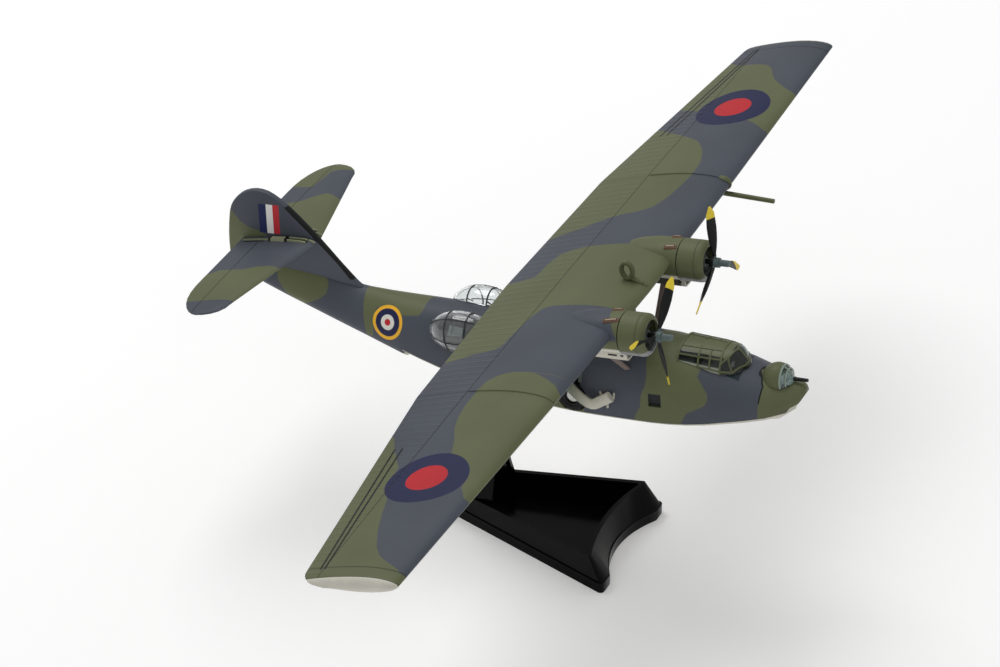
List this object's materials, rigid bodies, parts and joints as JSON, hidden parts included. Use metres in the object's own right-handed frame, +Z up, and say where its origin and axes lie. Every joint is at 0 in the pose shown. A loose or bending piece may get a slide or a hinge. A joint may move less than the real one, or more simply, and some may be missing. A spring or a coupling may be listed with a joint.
{
  "type": "display model of a twin-engined flying boat",
  "caption": "Small display model of a high-winged flying boat on a black desk stand, with free-turning propellers.",
  "frame": {"origin": "centre of the stand's flat underside, on the table", "axes": "+Z up, nose towards -Y, the aircraft's port wing along +X"},
  "size_m": [0.2114, 0.1309, 0.0797],
  "materials": {
    "camouflage_paint": "matte camouflage enamel in slate grey and olive green over die-cast metal",
    "pale_paint": "matte pale grey-cream enamel",
    "clear_plastic": "clear moulded polystyrene with painted frames",
    "black_plastic": "black moulded plastic, satin gloss",
    "black_paint": "black plastic, the blade tips yellow",
    "tyre_black": "black matte plastic",
    "engine_grey": "dark grey plastic"
  },
  "bodies": {
    "airframe": {"aerial_ring": "camouflage_paint", "blister_port": "clear_plastic", "blister_starboard": "clear_plastic", "bow_gun": "black_paint", "bow_turret": "camouflage_paint", "cockpit_canopy": "clear_plastic", "cowl_port": "camouflage_paint", "cowl_starboard": "camouflage_paint", "engine_port": "engine_grey", "engine_starboard": "engine_grey", "hull": "camouflage_paint", "hull_bottom": "pale_paint", "main_leg_port": "pale_paint", "main_leg_starboard": "pale_paint", "main_tyre_port": "tyre_black", "main_tyre_starboard": "tyre_black", "nacelle_port": "camouflage_paint", "nacelle_starboard": "camouflage_paint", "oil_cooler_port": "pale_paint", "oil_cooler_starboard": "pale_paint", "pitot_boom": "camouflage_paint", "stand_arm": "black_plastic", "stand_base": "black_plastic", "tail_fin": "camouflage_paint", "tailplane_port": "camouflage_paint", "tailplane_starboard": "camouflage_paint", "turret_glazing": "clear_plastic", "wheel_hub_port": "pale_paint", "wheel_hub_starboard": "pale_paint", "wing_centre": "camouflage_paint", "wing_float_port": "pale_paint", "wing_float_starboard": "pale_paint", "wing_outer_port": "camouflage_paint", "wing_outer_starboard": "camouflage_paint", "wing_pylon": "camouflage_paint", "wing_strut_front_port": "camouflage_paint", "wing_strut_front_starboard": "camouflage_paint", "wing_strut_rear_port": "camouflage_paint", "wing_strut_rear_starboard": "camouflage_paint"},
    "propeller_port": {"propeller_port": "black_paint"},
    "propeller_starboard": {"propeller_starboard": "black_paint"}
  },
  "joints": [
    {"name": "port_propeller_spin", "type": "hinge", "parent": "airframe", "child": "propeller_port", "pos_m": [0.0143, -0.03104, 0.06752], "axis": [0, -0.9857, 0.1685], "continuous": true},
    {"name": "starboard_propeller_spin", "type": "hinge", "parent": "airframe", "child": "propeller_starboard", "pos_m": [-0.0143, -0.03104, 0.06752], "axis": [0, -0.9857, 0.1685], "continuous": true}
  ]
}
